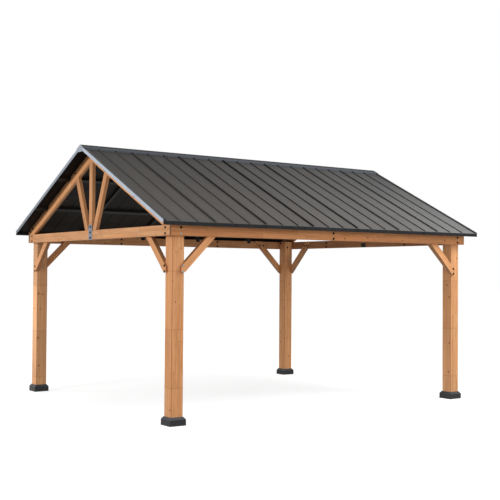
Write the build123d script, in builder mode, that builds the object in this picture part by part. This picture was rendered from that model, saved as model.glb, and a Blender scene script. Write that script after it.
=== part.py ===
from build123d import *
from math import cos, radians, sin, tan
import os

os.makedirs("parts", exist_ok=True)

# An open timber gazebo with a steel gable roof. Millimetres, +Z up, the ridge along X,
# the origin on the floor at the middle. "Left" is -X, "front" is -Y.

# Posts and their base covers
post_side = 147
post_spacing_x = 4220
post_spacing_y = 3580
post_edge = 6
cover_side = 196
cover_wall_height = 66
cover_height = 92
cover_lip = 4

# Beams: each one is two layers of boards, bolted on the outside of the posts
board = 25
beam_top = 2130
beam_depth = 115
board_edge = 3
joint_gap = 1
outer_joint_x = 20
inner_joint_x = 820
inner_joint_y = 850

# Knee braces, measured from the post's face and the beam's underside
brace_leg = 385
brace_width = 78
brace_post_lap = 50
brace_beam_reach = 490

# Roof planes: the top of the flat pans. Overhangs are measured from the beams' outer faces,
# and the eave's rise from the beams' top.
pitch = 26
gable_overhang = 150.5
eave_overhang = 95.5
eave_rise = 30
sheet = 6
panels_per_slope = 7
pans_per_panel = 3
first_pan_cut = 23
last_pan_extra = 52
seam_width = 18
seam_height = 12
lap_width = 10
lap_height = 16

# Metal trims
trim_sheet = 3
rake_up = 12.6
rake_down = 29
rake_flange = 36
rake_end_gap = 1
fascia_depth = 38
fascia_return = 26
fascia_sections = 5
fascia_joint_shift = -35
cap_leg_length = 104
cap_sheet = 3
notch_clearance = 2
plate_depth = 67
plate_foot_half = 50
plate_shoulder_half = 64

# Gable trusses, depths measured square to the pan plane
main_rafter_bottom = 146
face_rafter_depth = 56
rafter_tail_gap = 29
truss_member = 82
truss_thickness = 40
strut_lean = 23.5
strut_gap = 18

# Steel roof frame under the sheets
frame_depth = 30
rafter_width = 40
purlin_width = 60
purlin_shares = (0.324, 0.667)
ridge_beam_half = 50
ridge_beam_web = 49
bracket_width = 60
bracket_drop = 35

# Tie plates at the middle of the gable beams
tie_width = 92
tie_rise = 65
inner_tie_height = 60

# Worked out from the sizes above
half_post = post_side / 2
post_x = post_spacing_x / 2
post_y = post_spacing_y / 2
face_x = post_x + half_post
face_y = post_y + half_post
outer_x = face_x + 2 * board
outer_y = face_y + 2 * board
beam_bottom = beam_top - beam_depth
half_roof_x = outer_x + gable_overhang
half_roof_y = outer_y + eave_overhang
roof_length = 2 * half_roof_x
slope = tan(radians(pitch))
pitch_cos = cos(radians(pitch))
pitch_sin = sin(radians(pitch))
pan_apex_z = beam_top + eave_rise + slope * half_roof_y
fascia_bottom = beam_top + eave_rise - fascia_depth
rafter_tail_y = half_roof_y - rafter_tail_gap
purlin_ys = [half_roof_y * share for share in purlin_shares]
trim_x = half_roof_x - cap_sheet
sheet_end_x = trim_x - trim_sheet - rake_end_gap
sheet_end_y = half_roof_y - trim_sheet
frame_top = sheet
frame_bottom = sheet + frame_depth
bay = roof_length / fascia_sections
steel_rafter_xs = [(i - 1.5) * bay for i in range(fascia_sections - 1)]
first_seam_line = -sheet_end_x - first_pan_cut
pan_width = (2 * sheet_end_x + first_pan_cut - last_pan_extra) / (panels_per_slope * pans_per_panel)

FRONT, BACK = -1, 1
LEFT, RIGHT = -1, 1
SIDES_Y = {"front": FRONT, "back": BACK}
SIDES_X = {"left": LEFT, "right": RIGHT}


def save(part, label):
    """Label one piece and write it to its own file."""
    part.label = label
    export_step(part, "parts/" + label + ".step")


def roof_z(y, below=0):
    """Height of the roof's pan plane, or of a plane below it, at a distance y from the ridge."""
    return pan_apex_z - below / pitch_cos - slope * abs(y)


def slope_plane(side):
    """Plane at the ridge, square to a slope: x along the ridge, y out of the roof, z down it."""
    return Plane(origin=(0, 0, pan_apex_z), x_dir=(-side, 0, 0), z_dir=(0, side * pitch_cos, -pitch_sin))


def along_x(x):
    """Plane square to the ridge at x, drawn in y and z."""
    return Plane(origin=(x, 0, 0), x_dir=(0, 1, 0), z_dir=(1, 0, 0))


def along_y(y):
    """Plane square to the gables at y, drawn in x and z."""
    return Plane(origin=(0, y, 0), x_dir=(1, 0, 0), z_dir=(0, -1, 0))


def board_between(x_range, y_range, z_range, edge=board_edge):
    """A sawn board between the given limits, with its long edges eased."""
    lows, highs = zip(x_range, y_range, z_range)
    middle = [(low + high) / 2 for low, high in zip(lows, highs)]
    sizes = [high - low for low, high in zip(lows, highs)]
    long_axis = (Axis.X, Axis.Y, Axis.Z)[sizes.index(max(sizes))]
    with BuildPart() as piece:
        with Locations(tuple(middle)):
            Box(*sizes)
        chamfer(piece.edges().filter_by(long_axis), edge)
    return piece.part


def together(pieces):
    """Pieces of one kind that don't touch, kept as separate solids of one node."""
    with BuildPart() as group:
        add(pieces)
    return group.part


def post(side_x, side_y):
    """One square post with eased corners."""
    with BuildPart() as piece:
        with BuildSketch():
            with Locations((side_x * post_x, side_y * post_y)):
                Rectangle(post_side, post_side)
        extrude(amount=beam_top)
        chamfer(piece.edges().filter_by(Axis.Z), post_edge)
    return piece.part


def post_cover(side_x, side_y):
    """The square collar round a post's foot, with its sloped top."""
    with BuildPart() as piece:
        with BuildSketch():
            with Locations((side_x * post_x, side_y * post_y)):
                Rectangle(cover_side, cover_side)
        extrude(amount=cover_wall_height)
        with BuildSketch(Plane.XY.offset(cover_wall_height)):
            with Locations((side_x * post_x, side_y * post_y)):
                Rectangle(cover_side, cover_side)
        with BuildSketch(Plane.XY.offset(cover_height)):
            with Locations((side_x * post_x, side_y * post_y)):
                Rectangle(post_side + 2 * cover_lip, post_side + 2 * cover_lip)
        loft()
        with BuildSketch():
            with Locations((side_x * post_x, side_y * post_y)):
                Rectangle(post_side, post_side)
        extrude(amount=cover_height, mode=Mode.SUBTRACT)
    return piece.part


def board_row(cuts, across, along):
    """Boards laid end to end between the cuts, a hair apart at each joint."""
    boards = []
    for start, end in zip(cuts, cuts[1:]):
        first = start + (joint_gap / 2 if start != cuts[0] else 0)
        last = end - (joint_gap / 2 if end != cuts[-1] else 0)
        ranges = [(first, last), across] if along == "x" else [across, (first, last)]
        boards.append(board_between(*ranges, (beam_bottom, beam_top)))
    return together(boards)


def layer(face, side, depth):
    """Limits of one board layer on the outside of the posts: depth 0 inside, 1 outside."""
    limits = (side * (face + depth * board), side * (face + (depth + 1) * board))
    return tuple(sorted(limits))


def long_beam(side):
    """The outer and inner board layers of a long beam. One end of the inner layer stops short
    of the corner, where the gable beam's outer layer laps it."""
    outer = board_row((-outer_x, outer_joint_x, outer_x), layer(face_y, side, 1), "x")
    short, full = outer_x - board, outer_x
    left, right = (short, full) if side == FRONT else (full, short)
    cuts = (-left, -inner_joint_x, inner_joint_x, right)
    inner = board_row(cuts, layer(face_y, side, 0), "x")
    return outer, inner


def gable_beam(side):
    """The outer and inner board layers of a gable beam."""
    lapped, butted = face_y + board, face_y
    front, back = (lapped, butted) if side == LEFT else (butted, lapped)
    outer = board_row((-front, 0, back), layer(face_x, side, 1), "y")
    inner = board_row((-face_y, -inner_joint_y, inner_joint_y, face_y), layer(face_x, side, 0), "y")
    return outer, inner


def knee_brace(corner, inward, plane_at, outward):
    """One knee brace, half lapped at both ends. Below the beam its outer half runs on over the
    post's face, and past the post its inner half runs up behind the beam."""
    rise = brace_width * 2 ** 0.5
    top_run = brace_leg + beam_depth - rise
    over_post = [
        (-brace_post_lap, -brace_leg),
        (0, -brace_leg),
        (brace_leg, 0),
        (brace_leg - rise, 0),
        (-brace_post_lap, rise - brace_leg - brace_post_lap),
    ]
    behind_beam = [
        (0, -brace_leg),
        (brace_leg + beam_depth, beam_depth),
        (top_run, beam_depth),
        (0, rise - brace_leg),
    ]
    up_to_plumb_end = [
        (0, -brace_leg),
        (brace_beam_reach, -brace_leg),
        (brace_beam_reach, beam_depth),
        (0, beam_depth),
    ]
    layers = (
        ([over_post], outward * board),
        ([behind_beam, up_to_plumb_end], -outward * board),
    )
    with BuildPart() as piece:
        for outlines, depth in layers:
            with BuildSketch(plane_at):
                for outline, mode in zip(outlines, (Mode.ADD, Mode.INTERSECT)):
                    with BuildLine():
                        Polyline(*[(corner + inward * u, beam_bottom + w) for u, w in outline], close=True)
                    make_face(mode=mode)
            extrude(amount=depth)
    return piece.part


def corner_braces(side_x, side_y):
    """The two knee braces of one post."""
    under_long_beam = knee_brace(side_x * (post_x - half_post), -side_x, along_y(side_y * face_y), -side_y)
    under_gable_beam = knee_brace(side_y * (post_y - half_post), -side_y, along_x(side_x * face_x), side_x)
    return together([under_long_beam, under_gable_beam])


def truss_board(side_y, start_x, thickness, outline):
    """A board of the truss from an outline in y and z, y counted from the middle."""
    with BuildPart() as piece:
        with BuildSketch(along_x(start_x)):
            with BuildLine():
                Polyline(*[(side_y * y, z) for y, z in outline], close=True)
            make_face()
        extrude(amount=thickness)
    return piece.part


def rafter_outline(top, bottom, tail_y):
    """A rafter from the plumb cut at the ridge to its level seat on the beam."""
    seat_top = (pan_apex_z - top / pitch_cos - beam_top) / slope
    seat_bottom = (pan_apex_z - bottom / pitch_cos - beam_top) / slope
    start = joint_gap / 2
    points = [(start, roof_z(start, bottom)), (start, roof_z(start, top))]
    if seat_top > tail_y:
        points += [(tail_y, roof_z(tail_y, top)), (tail_y, beam_top)]
    else:
        points += [(seat_top, beam_top)]
    return points + [(seat_bottom, beam_top)]


def rafter_pair(start_x, thickness, top, bottom):
    """The two rafters of one layer of a truss, plumb cut and a hair apart at the ridge."""
    outline = rafter_outline(top, bottom, rafter_tail_y)
    return together([truss_board(side, start_x, thickness, outline) for side in (FRONT, BACK)])


def king_post(start_x, thickness):
    """The upright at the middle of a truss, pointed to fit under both rafters."""
    half = truss_member / 2
    shoulder = roof_z(half, main_rafter_bottom)
    outline = [(-half, beam_top), (half, beam_top), (half, shoulder),
               (0, roof_z(0, main_rafter_bottom)), (-half, shoulder)]
    return truss_board(FRONT, start_x, thickness, outline)


def strut_pair(start_x, thickness):
    """The two struts that fan out from the king post's foot to the rafters."""
    lean = tan(radians(strut_lean))
    inner_foot = truss_member / 2 + strut_gap
    outer_foot = inner_foot + truss_member / cos(radians(strut_lean))
    outline = []
    for foot in (inner_foot, outer_foot):
        rise = (roof_z(foot, main_rafter_bottom) - beam_top) / (1 + slope * lean)
        top = (foot + rise * lean, beam_top + rise)
        outline += [(foot, beam_top), top] if foot == inner_foot else [top, (foot, beam_top)]
    return together([truss_board(side, start_x, thickness, outline) for side in (FRONT, BACK)])


def roof_panel(side, index):
    """One sheet of three pans: flat pans, raised seams and a turned-up lap at each joint. The
    first sheet is cut to fit, and the last one has a wider pan at the gable."""
    width = pans_per_panel * pan_width
    low = first_seam_line + index * width
    high = low + width
    first = low + joint_gap / 2 if index else -sheet_end_x
    last = high - joint_gap / 2 if index < panels_per_slope - 1 else sheet_end_x
    outline = [(first, -sheet), (last, -sheet)]
    if index < panels_per_slope - 1:
        outline += [(last, lap_height), (last - lap_width, lap_height), (last - lap_width, 0)]
    else:
        outline += [(last, 0)]
    for k in range(pans_per_panel - 1, 0, -1):
        seam = low + k * pan_width
        outline += [(seam + seam_width / 2, 0), (seam + seam_width / 4, seam_height)]
        outline += [(seam - seam_width / 4, seam_height), (seam - seam_width / 2, 0)]
    if index:
        outline += [(first + lap_width, 0), (first + lap_width, lap_height), (first, lap_height)]
    else:
        outline += [(first, 0)]
    with BuildPart() as piece:
        with BuildSketch(slope_plane(side).offset(-2 * lap_height)):
            with BuildLine():
                Polyline(*outline, close=True)
            make_face()
        extrude(amount=half_roof_y / pitch_cos + 4 * lap_height)
        split(bisect_by=Plane.XZ.offset(-side * joint_gap / 2), keep=Keep.TOP if side == FRONT else Keep.BOTTOM)
        split(bisect_by=Plane.XZ.offset(-side * sheet_end_y), keep=Keep.BOTTOM if side == FRONT else Keep.TOP)
    return piece.part


def roof_slope(side):
    """All the sheets of one slope, a hair apart."""
    return together([roof_panel(side, index) for index in range(panels_per_slope)])


def lip_notches():
    """Places along a slope's top where the cap's lip is cut away, each with its width: over every
    seam and lap, and over the flange of the trim at each end."""
    count = panels_per_slope * pans_per_panel
    over_seam = 2 * (lap_width + notch_clearance)
    over_trim = rake_flange + 2 * notch_clearance
    seams = [(first_seam_line + k * pan_width, over_seam) for k in range(1, count)]
    end = trim_x - rake_flange / 2
    return seams + [(-end, over_trim), (end, over_trim)]


def ridge_cap():
    """The folded ridge cap. It rests on the laps, and its lips come down to the pans and are
    notched over every seam."""
    top = lap_height + cap_sheet
    lip = cap_leg_length - cap_sheet
    outline = [(cap_leg_length, top), (cap_leg_length, 0), (lip, 0), (lip, lap_height)]
    profile = [(0, pan_apex_z + top / pitch_cos)]
    for side, points in ((FRONT, outline), (BACK, outline[::-1])):
        for s, v in points:
            y = side * (s * pitch_cos + v * pitch_sin)
            profile.append((y, pan_apex_z - s * pitch_sin + v * pitch_cos))
        if side == FRONT:
            profile.append((0, pan_apex_z + lap_height / pitch_cos))
    with BuildPart() as cap:
        with BuildSketch(along_x(-trim_x)):
            with BuildLine():
                Polyline(*profile, close=True)
            make_face()
        extrude(amount=2 * trim_x)
        for side in (FRONT, BACK):
            lip_y = side * cap_leg_length * pitch_cos
            lip_z = pan_apex_z - cap_leg_length * pitch_sin
            square_to_slope = (0, side * pitch_sin, pitch_cos)
            with BuildSketch(Plane(origin=(0, lip_y, lip_z), x_dir=(1, 0, 0), z_dir=square_to_slope)):
                for x, width in lip_notches():
                    with Locations((-side * x, 0)):
                        Rectangle(width, 4 * cap_sheet)
            extrude(amount=lap_height, mode=Mode.SUBTRACT)
    return cap.part


def end_plates():
    """The small plates that close the ridge cap over each gable's mitre."""
    top = lap_height + cap_sheet
    apex = pan_apex_z + top / pitch_cos
    foot = pan_apex_z - plate_depth
    shoulder = apex - slope * plate_shoulder_half
    outline = [(-plate_foot_half, foot), (plate_foot_half, foot), (plate_shoulder_half, shoulder),
               (0, apex), (-plate_shoulder_half, shoulder)]
    with BuildPart() as plates:
        for start in (-half_roof_x, trim_x):
            with BuildSketch(along_x(start)):
                with BuildLine():
                    Polyline(*outline, close=True)
                make_face()
            extrude(amount=cap_sheet)
    return plates.part


def rake_trim(side_x, side):
    """The folded edge trim up one slope of one gable."""
    edge = side_x * trim_x
    inner = edge - side_x * trim_sheet
    lip = edge - side_x * rake_flange
    outline = [
        (edge, -rake_down), (edge, rake_up), (lip, rake_up), (lip, 0),
        (lip + side_x * trim_sheet, 0), (lip + side_x * trim_sheet, rake_up - trim_sheet),
        (inner, rake_up - trim_sheet), (inner, -rake_down),
    ]
    end = (half_roof_y - rake_up * pitch_sin) / pitch_cos
    with BuildPart() as trim:
        with BuildSketch(slope_plane(side).offset(-2 * rake_down)):
            with BuildLine():
                Polyline(*[(-side * x, v) for x, v in outline], close=True)
            make_face()
        extrude(amount=end + 2 * rake_down)
        split(bisect_by=Plane.XZ.offset(-side * joint_gap / 2), keep=Keep.TOP if side == FRONT else Keep.BOTTOM)
    return trim.part


def eave_fascia(side):
    """The charcoal eave trim in five lengths, with a return under the sheets' ends."""
    outer = side * half_roof_y
    inner = side * sheet_end_y
    back = side * (half_roof_y - fascia_return)
    end = trim_x - trim_sheet
    joints = [(i - 1.5) * bay + fascia_joint_shift for i in range(fascia_sections - 1)]
    cuts = [-end] + joints + [end]
    outline = [
        (outer, fascia_bottom), (outer, roof_z(half_roof_y)), (inner, roof_z(half_roof_y)),
        (inner, fascia_bottom + trim_sheet), (back, fascia_bottom + trim_sheet), (back, fascia_bottom),
    ]
    with BuildPart() as lengths:
        for start, stop in zip(cuts, cuts[1:]):
            low, high = sorted((-side * (start + joint_gap / 2), -side * (stop - joint_gap / 2)))
            with BuildSketch(along_x(low)):
                with BuildLine():
                    Polyline(*outline, close=True)
                make_face()
            extrude(amount=high - low)
    return lengths.part


def frame_bar(side, x_low, x_high, y_low, y_high):
    """A steel bar right under the sheets, between two distances from the ridge."""
    outline = [
        (side * y_low, roof_z(y_low, frame_top)), (side * y_high, roof_z(y_high, frame_top)),
        (side * y_high, roof_z(y_high, frame_bottom)), (side * y_low, roof_z(y_low, frame_bottom)),
    ]
    with BuildPart() as piece:
        with BuildSketch(along_x(x_low)):
            with BuildLine():
                Polyline(*outline, close=True)
            make_face()
        extrude(amount=x_high - x_low)
    return piece.part


def purlins():
    """Two purlins on each slope, and their ends out to the gable trims."""
    half = purlin_width * pitch_cos / 2
    inside = outer_x - 2 * board
    outside = outer_x - board
    edge = trim_x - trim_sheet
    bars = []
    for side in (FRONT, BACK):
        for y in purlin_ys:
            for low, high in ((-edge, -outside), (-inside, inside), (outside, edge)):
                bars.append(frame_bar(side, low, high, y - half, y + half))
    return together(bars)


def steel_rafters():
    """The steel rafters, in lengths between the ridge beam, the purlins and the eave."""
    half = purlin_width * pitch_cos / 2
    stops = [ridge_beam_half]
    for y in purlin_ys:
        stops += [y - half, y + half]
    stops += [rafter_tail_y]
    bars = []
    for side in (FRONT, BACK):
        for x in steel_rafter_xs:
            for low, high in zip(stops[::2], stops[1::2]):
                bars.append(frame_bar(side, x - rafter_width / 2, x + rafter_width / 2, low, high))
    return together(bars)


def ridge_beam():
    """The steel ridge beam between the trusses, with its top folded to the roof's pitch."""
    half = ridge_beam_half
    shoulder = roof_z(half, sheet)
    foot = shoulder - ridge_beam_web
    inside = outer_x - 2 * board
    with BuildPart() as piece:
        with BuildSketch(along_x(-inside)):
            with BuildLine():
                Polyline((-half, foot), (half, foot), (half, shoulder), (0, roof_z(0, sheet)),
                         (-half, shoulder), close=True)
            make_face()
        extrude(amount=2 * inside)
    return piece.part


def eave_brackets():
    """The brackets that seat each steel rafter on the long beams."""
    inner = face_y - trim_sheet
    outline = [
        (inner, beam_top - bracket_drop), (face_y, beam_top - bracket_drop), (face_y, beam_top),
        (outer_y, beam_top), (outer_y, roof_z(outer_y, frame_bottom)), (inner, roof_z(inner, frame_bottom)),
    ]
    starts = [x - bracket_width / 2 for x in steel_rafter_xs]
    return together([truss_board(side, x, bracket_width, outline) for side in (FRONT, BACK) for x in starts])


def tie_plates(side):
    """The strap that ties king post and gable beam outside, and the joint plate inside."""
    outside = side * (outer_x + trim_sheet / 2)
    inside = side * (face_x - trim_sheet / 2)
    strap_height = beam_depth + tie_rise
    with BuildPart() as plates:
        with Locations((outside, 0, beam_bottom + strap_height / 2)):
            Box(trim_sheet, tie_width, strap_height)
        with Locations((inside, 0, beam_bottom + inner_tie_height / 2)):
            Box(trim_sheet, tie_width, inner_tie_height)
    return plates.part


# Posts, covers and braces at each corner
for name_y, side_y in SIDES_Y.items():
    for name_x, side_x in SIDES_X.items():
        corner = name_y + "_" + name_x
        save(post(side_x, side_y), "post_" + corner)
        save(post_cover(side_x, side_y), "post_cover_" + corner)
        save(corner_braces(side_x, side_y), "knee_braces_" + corner)

# Long beams, roof slopes and eave trims at the front and back
for name_y, side_y in SIDES_Y.items():
    outer, inner = long_beam(side_y)
    save(outer, name_y + "_beam_outer")
    save(inner, name_y + "_beam_inner")
    save(roof_slope(side_y), name_y + "_roof_panels")
    save(eave_fascia(side_y), name_y + "_fascia")

# Gable beams, trusses and edge trims at the left and right
for name_x, side_x in SIDES_X.items():
    outer, inner = gable_beam(side_x)
    save(outer, name_x + "_beam_outer")
    save(inner, name_x + "_beam_inner")
    face_start = min(side_x * outer_x, side_x * (outer_x - board))
    main_start = min(side_x * (outer_x - board), side_x * (outer_x - 2 * board))
    member_start = min(side_x * outer_x, side_x * (outer_x - truss_thickness))
    face_top = main_rafter_bottom - face_rafter_depth
    save(rafter_pair(face_start, board, face_top, main_rafter_bottom), name_x + "_face_rafters")
    save(rafter_pair(main_start, board, sheet, main_rafter_bottom), name_x + "_main_rafters")
    save(king_post(member_start, truss_thickness), name_x + "_king_post")
    save(strut_pair(member_start, truss_thickness), name_x + "_struts")
    save(tie_plates(side_x), name_x + "_tie_plates")
    save(together([rake_trim(side_x, side) for side in (FRONT, BACK)]), name_x + "_rake_trims")

# Ridge and steel frame
save(ridge_cap(), "ridge_cap")
save(end_plates(), "ridge_end_plates")
save(ridge_beam(), "ridge_beam")
save(purlins(), "purlins")
save(steel_rafters(), "steel_rafters")
save(eave_brackets(), "eave_brackets")
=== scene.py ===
from math import cos, radians, sin, tan

import bpy
from mathutils import Matrix, Vector


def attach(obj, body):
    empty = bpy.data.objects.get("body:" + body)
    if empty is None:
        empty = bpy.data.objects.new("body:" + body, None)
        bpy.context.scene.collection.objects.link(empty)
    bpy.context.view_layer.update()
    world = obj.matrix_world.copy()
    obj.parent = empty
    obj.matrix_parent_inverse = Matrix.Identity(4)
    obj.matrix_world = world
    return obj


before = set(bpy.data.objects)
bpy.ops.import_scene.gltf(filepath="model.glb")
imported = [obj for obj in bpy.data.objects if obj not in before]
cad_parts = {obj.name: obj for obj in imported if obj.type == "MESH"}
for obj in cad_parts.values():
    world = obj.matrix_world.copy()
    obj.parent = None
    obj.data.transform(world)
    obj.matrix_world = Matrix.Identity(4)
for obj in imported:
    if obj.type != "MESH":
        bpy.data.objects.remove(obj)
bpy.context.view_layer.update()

# Sizes in metres, the same as in the model. +Z up, the ridge along X, "left" is -X, "front" is -Y.

POST_X, POST_Y = 2.110, 1.790
HALF_POST = 0.0735
POST_LAMELLA = 0.049
BOARD = 0.025
FACE_X, FACE_Y = POST_X + HALF_POST, POST_Y + HALF_POST
OUTER_X, OUTER_Y = FACE_X + 2 * BOARD, FACE_Y + 2 * BOARD
BEAM_BOTTOM, BEAM_TOP = 2.015, 2.130
BEAM_MIDDLE = (BEAM_BOTTOM + BEAM_TOP) / 2
HALF_BEAM = (BEAM_TOP - BEAM_BOTTOM) / 2
OUTER_JOINT_X = 0.020
INNER_JOINT_X = 0.820
INNER_JOINT_Y = 0.850
STRUT_LEAN = radians(23.5)
GABLE_BRACE_FROM_X = POST_X + 0.015

HALF_ROOF_X, HALF_ROOF_Y = 2.384, 2.009
PITCH = radians(26)
EAVE_HEIGHT = 2.160
ROOF_TOP = EAVE_HEIGHT + tan(PITCH) * HALF_ROOF_Y
SHEETS_END_X = 2.377
SHEET = 0.003
PANS = 21
FIRST_PAN_LESS = 0.023
LAST_PAN_MORE = 0.052
FIRST_SEAM_LINE = -SHEETS_END_X - FIRST_PAN_LESS
PAN_WIDTH = (2 * SHEETS_END_X + FIRST_PAN_LESS - LAST_PAN_MORE) / PANS
CAP_LEG = 0.104
FASCIA_PIECES = 5
FASCIA_LENGTH = 2 * HALF_ROOF_X / FASCIA_PIECES
FASCIA_JOINT_SHIFT = -0.035

UP_SLOPE = Vector((0, -cos(PITCH), sin(PITCH)))
OUT_OF_SLOPE = Vector((0, sin(PITCH), cos(PITCH)))


def roof_height(y, below=0.0):
    """Height of the roof's pan plane, or of a plane below it, at a distance y from the ridge."""
    return ROOF_TOP - below / cos(PITCH) - tan(PITCH) * abs(y)


def tone(red, green, blue):
    """A colour given as a screen shows it, 0 to 255, turned into the linear colour of a shader."""
    linear = []
    for level in (red / 255, green / 255, blue / 255):
        linear.append(level / 12.92 if level <= 0.04045 else ((level + 0.055) / 1.055) ** 2.4)
    return (*linear, 1.0)


class Graph:
    """The nodes and links of a shader or of a geometry tree."""

    def __init__(self, tree):
        self.nodes = tree.nodes
        self.links = tree.links

    def feed(self, socket, value):
        """Link a socket, or set its value."""
        if isinstance(value, bpy.types.NodeSocket):
            self.links.new(value, socket)
        else:
            socket.default_value = value

    def math(self, operation, *values):
        node = self.nodes.new("ShaderNodeMath")
        node.operation = operation
        for socket, value in zip(node.inputs, values):
            self.feed(socket, value)
        return node.outputs[0]

    def join(self, x, y, z):
        node = self.nodes.new("ShaderNodeCombineXYZ")
        for socket, value in zip(node.inputs, (x, y, z)):
            self.feed(socket, value)
        return node.outputs[0]


class Finish(Graph):
    """One material's node graph, built a step at a time on the object's own coordinates."""

    def __init__(self, name):
        self.material = bpy.data.materials.new(name)
        self.material.use_nodes = True
        super().__init__(self.material.node_tree)
        self.shader = self.nodes["Principled BSDF"]
        self.place = self.nodes.new("ShaderNodeTexCoord").outputs["Object"]
        self.facing = self.nodes.new("ShaderNodeNewGeometry").outputs["True Normal"]

    def vector(self, operation, *values):
        node = self.nodes.new("ShaderNodeVectorMath")
        node.operation = operation
        for socket, value in zip(node.inputs, values):
            self.feed(socket, value)
        gives_number = operation in ("DOT_PRODUCT", "LENGTH")
        return node.outputs["Value"] if gives_number else node.outputs[0]

    def split(self, vector):
        node = self.nodes.new("ShaderNodeSeparateXYZ")
        self.feed(node.inputs[0], vector)
        return tuple(node.outputs)

    def noise(self, place, scale, detail=2.0, roughness=0.5, stretch=(1, 1, 1)):
        """Smooth noise between 0 and 1, stretched along the axes of the place."""
        node = self.nodes.new("ShaderNodeTexNoise")
        self.feed(node.inputs["Vector"], self.vector("MULTIPLY", place, stretch))
        self.feed(node.inputs["Scale"], scale)
        self.feed(node.inputs["Detail"], detail)
        self.feed(node.inputs["Roughness"], roughness)
        return node.outputs[0]

    def chance(self, place):
        """Three random numbers for a place, always the same ones for the same place."""
        node = self.nodes.new("ShaderNodeTexWhiteNoise")
        self.feed(node.inputs["Vector"], place)
        return self.split(node.outputs["Color"])

    def ease(self, value, start, end, low=0.0, high=1.0):
        """A value taken from the range start-end to low-high, held at both ends."""
        node = self.nodes.new("ShaderNodeMapRange")
        for socket, number in zip(node.inputs, (value, start, end, low, high)):
            self.feed(socket, number)
        return node.outputs[0]

    def fade(self, value, start, end, full=1.0):
        """Full up to the start, and nothing from the end on."""
        return self.ease(value, start, end, full, 0.0)

    def swing(self, noise, spread=0.05):
        """A step down or up, by the spread at most, as the noise goes."""
        return self.ease(noise, 0.3, 0.7, -spread, spread)

    def off_line(self, run):
        """How far a running number is from the nearest whole one."""
        return self.math("ABSOLUTE", self.math("SUBTRACT", run, self.math("ROUND", run)))

    def mix(self, share, first, second):
        """A colour between the first and the second."""
        node = self.nodes.new("ShaderNodeMix")
        node.data_type = "RGBA"
        self.feed(node.inputs[0], share)
        self.feed(node.inputs[6], first)
        self.feed(node.inputs[7], second)
        return node.outputs[2]

    def shade(self, colour, level):
        """A colour made lighter or darker by a level round 1."""
        return self.vector("MULTIPLY", colour, self.join(level, level, level))

    def flecked(self, colour, speckle):
        """A colour with fine lighter and darker flecks."""
        return self.shade(colour, self.math("ADD", 1.0, self.swing(speckle)))

    def bump(self, height, strength, depth):
        node = self.nodes.new("ShaderNodeBump")
        node.inputs["Strength"].default_value = strength
        node.inputs["Distance"].default_value = depth
        self.feed(node.inputs["Height"], height)
        self.feed(self.shader.inputs["Normal"], node.outputs[0])

    def complete(self, colour, roughness, specular):
        """Feed the shader, and give back the material."""
        self.feed(self.shader.inputs["Base Color"], colour)
        self.feed(self.shader.inputs["Roughness"], roughness)
        self.shader.inputs["Specular IOR Level"].default_value = specular
        return self.material


# Cedar

CEDAR_LIGHT = tone(220, 161, 110)
CEDAR_DARK = tone(182, 119, 72)
CEDAR_KNOT = tone(116, 66, 38)
CEDAR_EDGE = tone(150, 96, 60)
RING_WIDTH = 0.0075
BAND_WIDTH = 0.031
RING_WAVER = 0.05
KNOTS_PER_METRE = 5.2
KNOT_RADII = (0.004, 0.012)
KNOT_REACH = 0.035
KNOT_SWELL = 0.012
TOOTH_WIDTH = 0.004
TOOTH_SLOPE = 1.6
GLUE_WIDTHS = (0.0008, 0.003)
GRAIN_SLIDE = 7.31
BLOCK_SHIFT = 0.7


class Grain:
    """Where a timber's grain runs: the way it is folded onto one quarter of the gazebo, a point
    on its centre line, and the directions along and across it."""

    def __init__(self, centre, along, across, fold_x=True, fold_y=True):
        self.centre = Vector(centre)
        self.along = Vector(along).normalized()
        self.across = Vector(across).normalized()
        self.through = self.along.cross(self.across)
        self.fold_x = fold_x
        self.fold_y = fold_y

    def directions(self):
        return [tuple(axis) for axis in (self.along, self.across, self.through)]


def folded(finish, grain):
    """The place mirrored onto one quarter, and a number that tells the mirrored pieces apart."""
    x, y, z = finish.split(finish.place)
    side_x = finish.math("SIGN", x)
    side_y = finish.math("SIGN", y)
    fold_x = finish.math("ABSOLUTE", x) if grain.fold_x else x
    fold_y = finish.math("ABSOLUTE", y) if grain.fold_y else y
    corner = finish.math("MULTIPLY", side_x if grain.fold_x else 0.0, 3.0)
    corner = finish.math("ADD", corner, side_y if grain.fold_y else 0.0)
    return finish.join(fold_x, fold_y, z), corner


def along_grain(finish, place, grain):
    """Distances along, across and through the timber from its centre."""
    local = finish.vector("SUBTRACT", place, tuple(grain.centre))
    return [finish.vector("DOT_PRODUCT", local, axis) for axis in grain.directions()]


def turned_normal(finish, grain):
    """How much a face looks along, across and through the timber."""
    x, y, z = finish.split(finish.facing)
    side_x, side_y, _ = finish.split(finish.vector("SIGN", finish.place))
    x = finish.math("MULTIPLY", x, side_x) if grain.fold_x else x
    y = finish.math("MULTIPLY", y, side_y) if grain.fold_y else y
    facing = finish.join(x, y, z)
    parts = [finish.vector("DOT_PRODUCT", facing, axis) for axis in grain.directions()]
    return [finish.math("ABSOLUTE", part) for part in parts]


def either(finish, is_second, firsts, seconds):
    """The first values, or the second ones where is_second is 1."""
    pairs = zip(firsts, seconds)
    return [finish.ease(is_second, 0.0, 1.0, first, second) for first, second in pairs]


def knot_cells(finish, along, across):
    """Distance to the middle of the nearest cell, the radius of its knot, and 1 if it has one."""
    cells = finish.nodes.new("ShaderNodeTexVoronoi")
    cells.voronoi_dimensions = "2D"
    cells.inputs["Scale"].default_value = KNOTS_PER_METRE
    finish.feed(cells.inputs["Vector"], finish.join(along, across, 0.0))
    distance = finish.math("DIVIDE", cells.outputs["Distance"], KNOTS_PER_METRE)
    own_chance, own_size, _ = finish.split(cells.outputs["Color"])
    radius = finish.ease(own_size, 0.0, 1.0, *KNOT_RADII)
    return distance, radius, finish.math("GREATER_THAN", own_chance, 0.55)


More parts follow.
